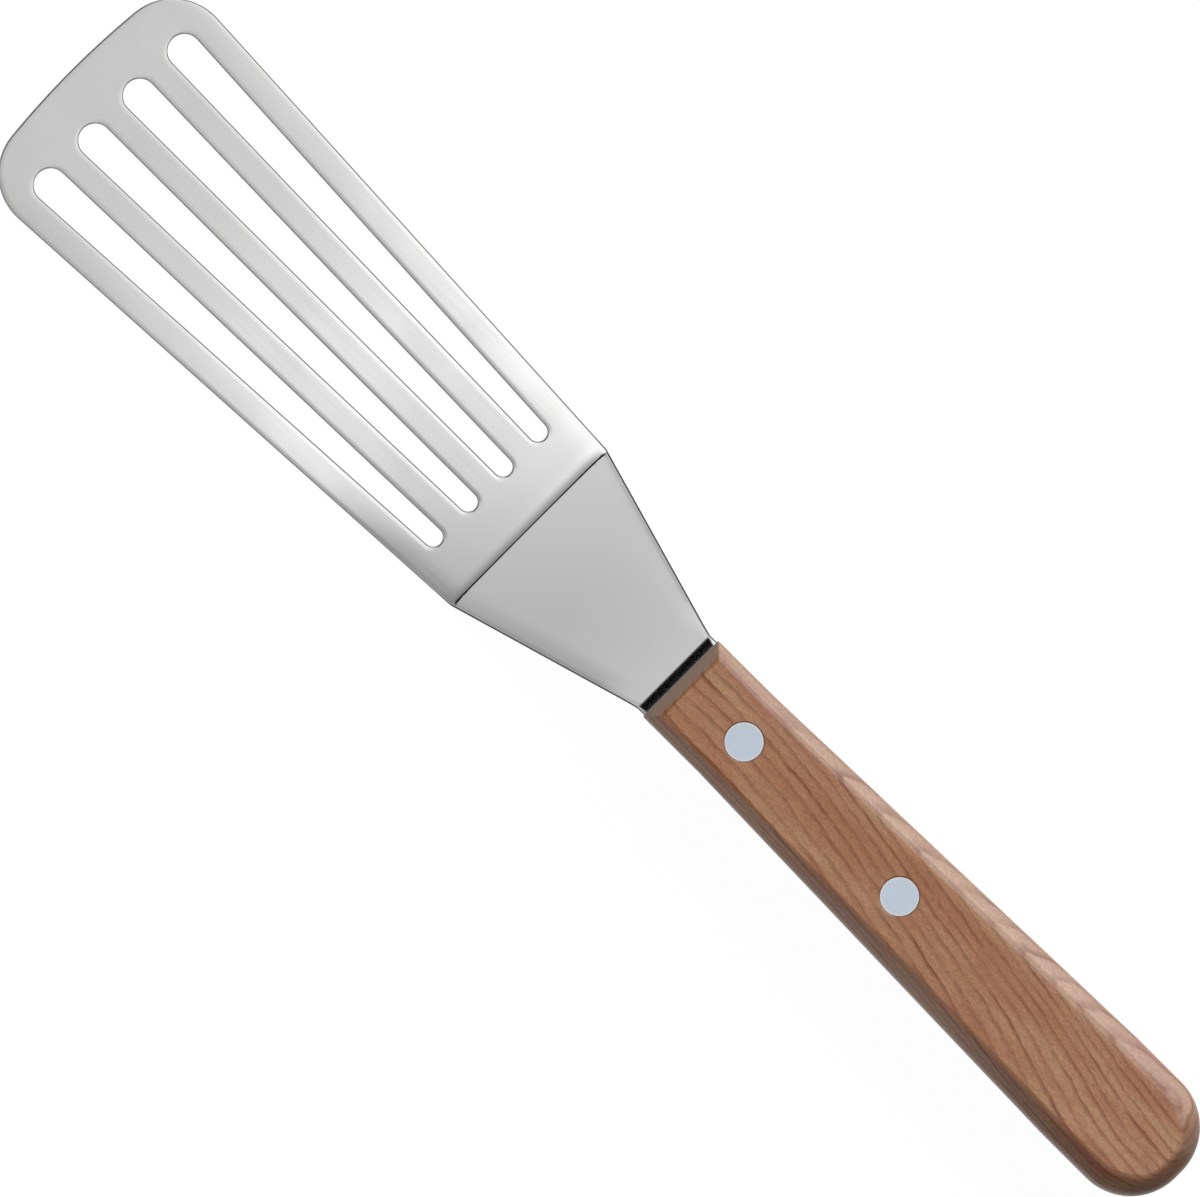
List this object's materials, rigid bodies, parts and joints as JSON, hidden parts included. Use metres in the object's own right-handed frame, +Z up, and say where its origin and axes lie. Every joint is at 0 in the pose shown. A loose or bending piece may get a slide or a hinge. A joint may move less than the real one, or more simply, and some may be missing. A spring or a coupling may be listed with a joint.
{
  "type": "slotted offset spatula",
  "caption": "Slotted offset spatula: tapered steel blade and cranked neck in one bent sheet, riveted into a chamfered wooden handle.",
  "frame": {"origin": "middle of the tool's length and width, level with the underside of the blade, which rests on the table", "axes": "+X from the butt of the handle to the tip of the blade, +Y across the blade, +Z up, square to the blade"},
  "size_m": [0.295, 0.0534, 0.0308],
  "materials": {
    "steel": "satin brushed along the tool",
    "handle_wood": "sanded, thin matt oil",
    "rivet": "sanded flush, satin"
  },
  "bodies": {
    "root": {"blade": "steel", "handle": "handle_wood", "front_rivet_sleeve": "rivet", "front_rivet_stud": "rivet", "rear_rivet_sleeve": "rivet", "rear_rivet_stud": "rivet"}
  },
  "joints": []
}
